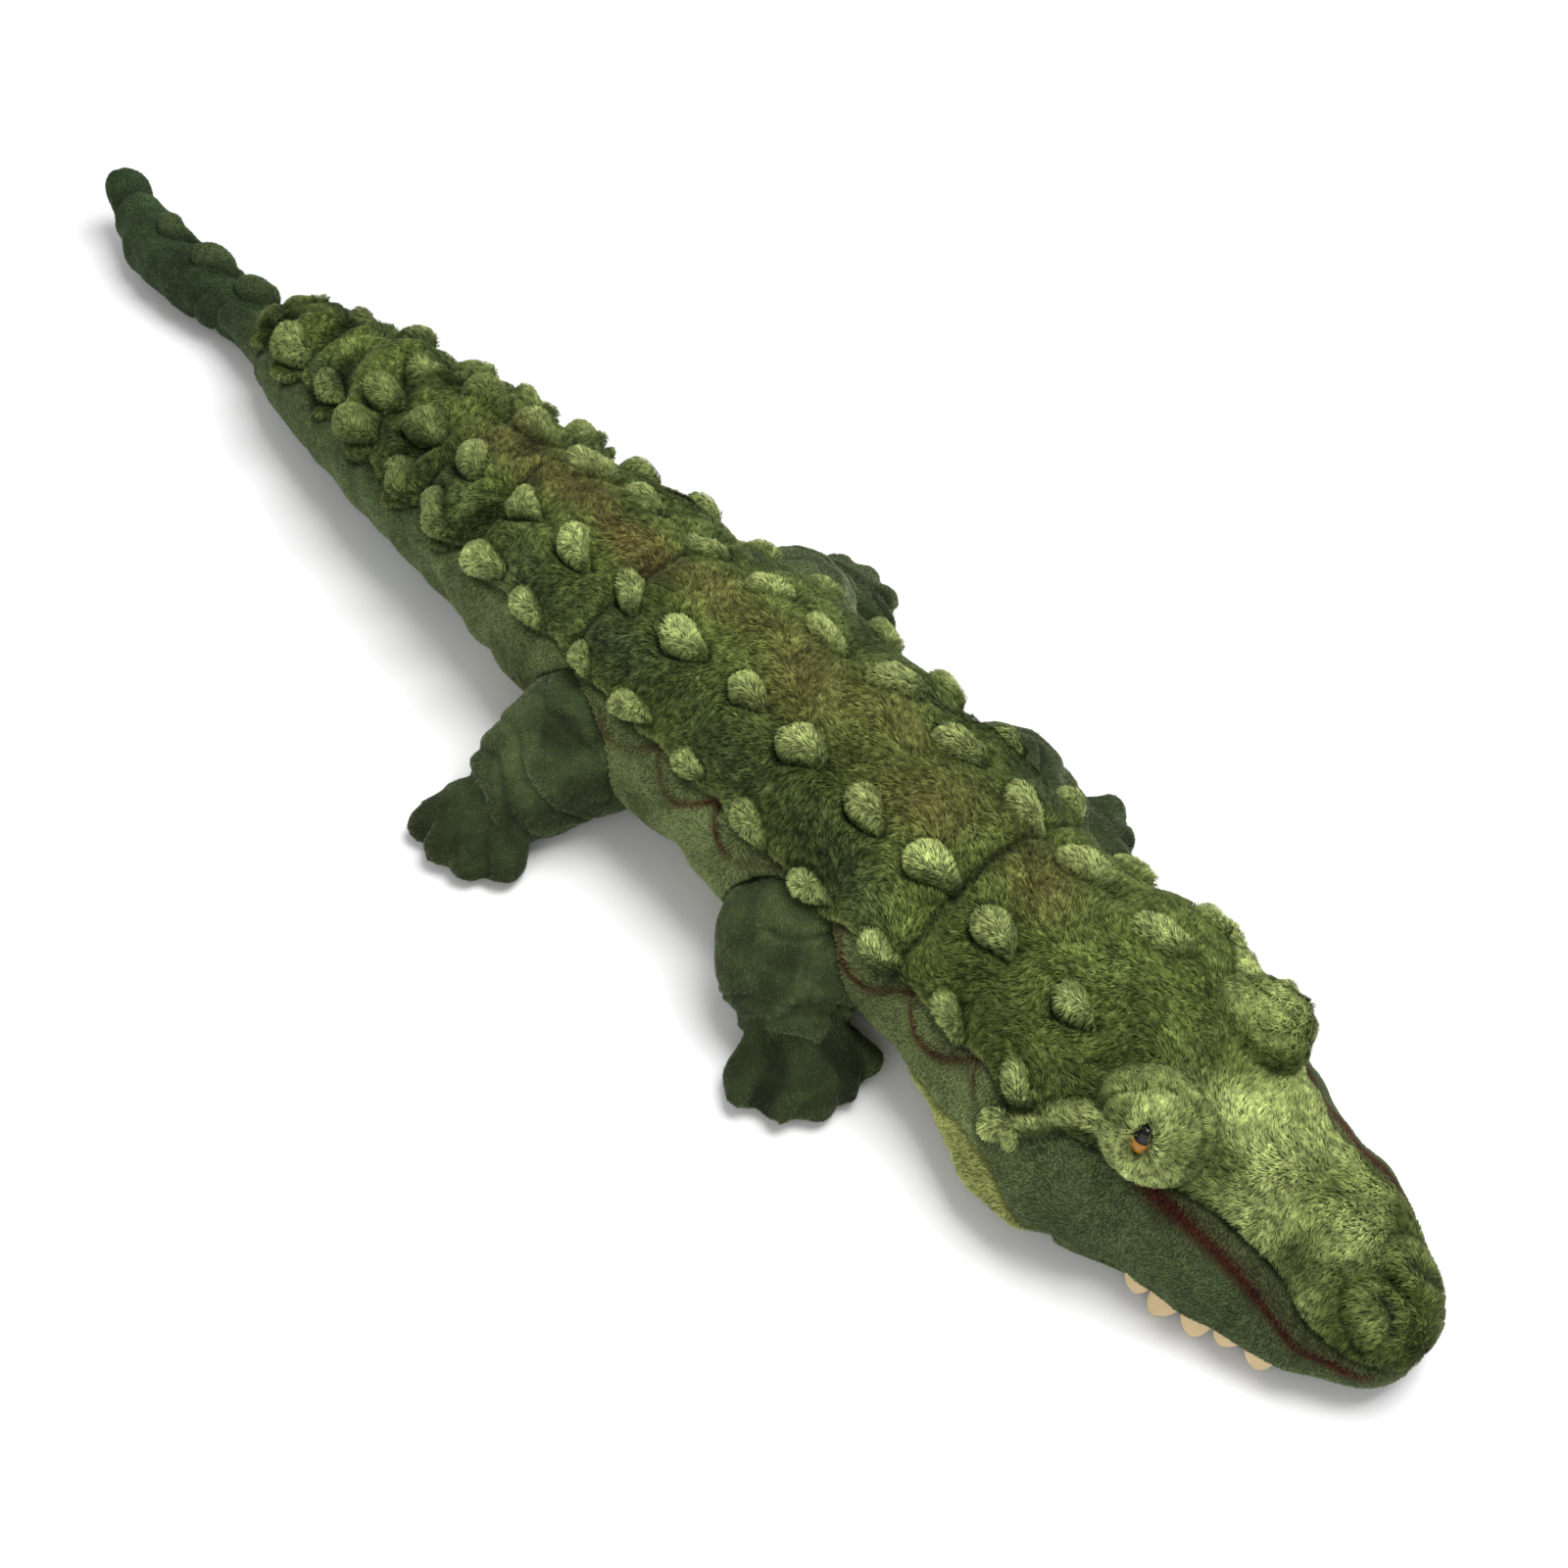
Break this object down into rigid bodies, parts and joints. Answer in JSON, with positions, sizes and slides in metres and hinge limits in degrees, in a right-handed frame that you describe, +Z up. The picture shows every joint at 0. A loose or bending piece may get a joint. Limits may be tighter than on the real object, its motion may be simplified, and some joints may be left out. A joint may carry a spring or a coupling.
{
  "type": "plush crocodile",
  "caption": "Long plush crocodile lying on its belly, with rows of raised scutes, a bending neck and tail, a soft opening jaw and padded legs.",
  "frame": {"origin": "on the floor plane, at the centre of the belly's flat rest face, under the middle of the torso", "axes": "+X towards the snout, +Y to the animal's left, +Z up"},
  "size_m": [0.941, 0.2874, 0.1089],
  "materials": {
    "back_plush": "long plush pile, light and mid green with a brown airbrushed saddle",
    "flank_plush": "short plush pile, grey green with maroon airbrushed stripes",
    "limb_plush": "short plush pile, dark green with blackened toes",
    "belly_plush": "plush pile, pale yellow green",
    "stuffing": "loose polyester fibre filling",
    "tooth_felt": "cut felt, cream",
    "mouth_felt": "short brushed lining, dark red brown",
    "eye_plastic": "clear amber safety eye with a black slit pupil",
    "washer_plastic": "white moulded plastic"
  },
  "bodies": {
    "torso": {"torso_stuffing": "stuffing", "back_panel": "back_plush", "belly_panel": "belly_plush", "flank_left": "flank_plush", "flank_right": "flank_plush"},
    "head": {"head_stuffing": "stuffing", "head_top_panel": "back_plush", "throat_panel": "belly_plush", "palate_lining": "mouth_felt", "head_side_left": "flank_plush", "eye_mound_left": "back_plush", "eye_left": "eye_plastic", "eye_washer_left": "washer_plastic", "ear_flap_left": "back_plush", "upper_teeth_left": "tooth_felt", "head_side_right": "flank_plush", "eye_mound_right": "back_plush", "eye_right": "eye_plastic", "eye_washer_right": "washer_plastic", "ear_flap_right": "back_plush", "upper_teeth_right": "tooth_felt"},
    "lower_jaw": {"jaw_skin": "flank_plush", "jaw_stuffing": "stuffing", "jaw_lining": "mouth_felt", "lower_teeth_left": "tooth_felt", "lower_teeth_right": "tooth_felt"},
    "tail_root": {"tail_root_stuffing": "stuffing", "tail_root_skin": "flank_plush", "tail_root_back": "back_plush"},
    "tail_mid": {"tail_mid_stuffing": "stuffing", "tail_mid_skin": "flank_plush", "tail_mid_back": "back_plush"},
    "tail_tip": {"tail_tip_stuffing": "stuffing", "tail_tip_skin": "flank_plush"},
    "thigh_front_left": {"thigh_front_left_skin": "limb_plush", "thigh_front_left_stuffing": "stuffing"},
    "foot_front_left": {"foot_front_left_skin": "limb_plush", "foot_front_left_stuffing": "stuffing"},
    "thigh_front_right": {"thigh_front_right_skin": "limb_plush", "thigh_front_right_stuffing": "stuffing"},
    "foot_front_right": {"foot_front_right_skin": "limb_plush", "foot_front_right_stuffing": "stuffing"},
    "thigh_rear_left": {"thigh_rear_left_skin": "limb_plush", "thigh_rear_left_stuffing": "stuffing"},
    "foot_rear_left": {"foot_rear_left_skin": "limb_plush", "foot_rear_left_stuffing": "stuffing"},
    "thigh_rear_right": {"thigh_rear_right_skin": "limb_plush", "thigh_rear_right_stuffing": "stuffing"},
    "foot_rear_right": {"foot_rear_right_skin": "limb_plush", "foot_rear_right_stuffing": "stuffing"}
  },
  "joints": [
    {"name": "neck_bend", "type": "hinge", "parent": "torso", "child": "head", "pos_m": [0.165, 0, 0.045], "axis": [0, 0, 1], "range_deg": [-15, 15], "stiffness_Nm_per_rad": 0.8},
    {"name": "jaw_open", "type": "hinge", "parent": "head", "child": "lower_jaw", "pos_m": [0.235, 0, 0.00465], "axis": [0, 1, 0], "range_deg": [0, 30], "stiffness_Nm_per_rad": 0.3},
    {"name": "tail_root_bend", "type": "hinge", "parent": "torso", "child": "tail_root", "pos_m": [-0.18, 0, 0.045], "axis": [0, 0, 1], "range_deg": [-15, 15], "stiffness_Nm_per_rad": 0.8},
    {"name": "tail_mid_bend", "type": "hinge", "parent": "tail_root", "child": "tail_mid", "pos_m": [-0.3, 0, 0.037], "axis": [0, 0, 1], "range_deg": [-20, 20], "stiffness_Nm_per_rad": 0.4},
    {"name": "tail_tip_bend", "type": "hinge", "parent": "tail_mid", "child": "tail_tip", "pos_m": [-0.404, 0, 0.022], "axis": [0, 0, 1], "range_deg": [-25, 25], "stiffness_Nm_per_rad": 0.1},
    {"name": "hip_front_left", "type": "hinge", "parent": "torso", "child": "thigh_front_left", "pos_m": [0.074, 0.062, 0.0355], "axis": [1, 0, 0], "range_deg": [0, 45], "stiffness_Nm_per_rad": 0.15},
    {"name": "ankle_front_left", "type": "hinge", "parent": "thigh_front_left", "child": "foot_front_left", "pos_m": [0.095, 0.083, 0.0143], "axis": [0.4067, -0.9135, 0], "range_deg": [0, 15], "stiffness_Nm_per_rad": 0.05},
    {"name": "hip_front_right", "type": "hinge", "parent": "torso", "child": "thigh_front_right", "pos_m": [0.074, -0.062, 0.0355], "axis": [-1, 0, 0], "range_deg": [0, 45], "stiffness_Nm_per_rad": 0.15},
    {"name": "ankle_front_right", "type": "hinge", "parent": "thigh_front_right", "child": "foot_front_right", "pos_m": [0.095, -0.083, 0.0143], "axis": [-0.4067, -0.9135, 0], "range_deg": [0, 15], "stiffness_Nm_per_rad": 0.05},
    {"name": "hip_rear_left", "type": "hinge", "parent": "torso", "child": "thigh_rear_left", "pos_m": [-0.07, 0.06, 0.0355], "axis": [1, 0, 0], "range_deg": [0, 45], "stiffness_Nm_per_rad": 0.15},
    {"name": "ankle_rear_left", "type": "hinge", "parent": "thigh_rear_left", "child": "foot_rear_left", "pos_m": [-0.081, 0.1, 0.0143], "axis": [0.9703, -0.2419, 0], "range_deg": [0, 15], "stiffness_Nm_per_rad": 0.05},
    {"name": "hip_rear_right", "type": "hinge", "parent": "torso", "child": "thigh_rear_right", "pos_m": [-0.07, -0.06, 0.0355], "axis": [-1, 0, 0], "range_deg": [0, 45], "stiffness_Nm_per_rad": 0.15},
    {"name": "ankle_rear_right", "type": "hinge", "parent": "thigh_rear_right", "child": "foot_rear_right", "pos_m": [-0.081, -0.1, 0.0143], "axis": [-0.9703, -0.2419, 0], "range_deg": [0, 15], "stiffness_Nm_per_rad": 0.05}
  ]
}
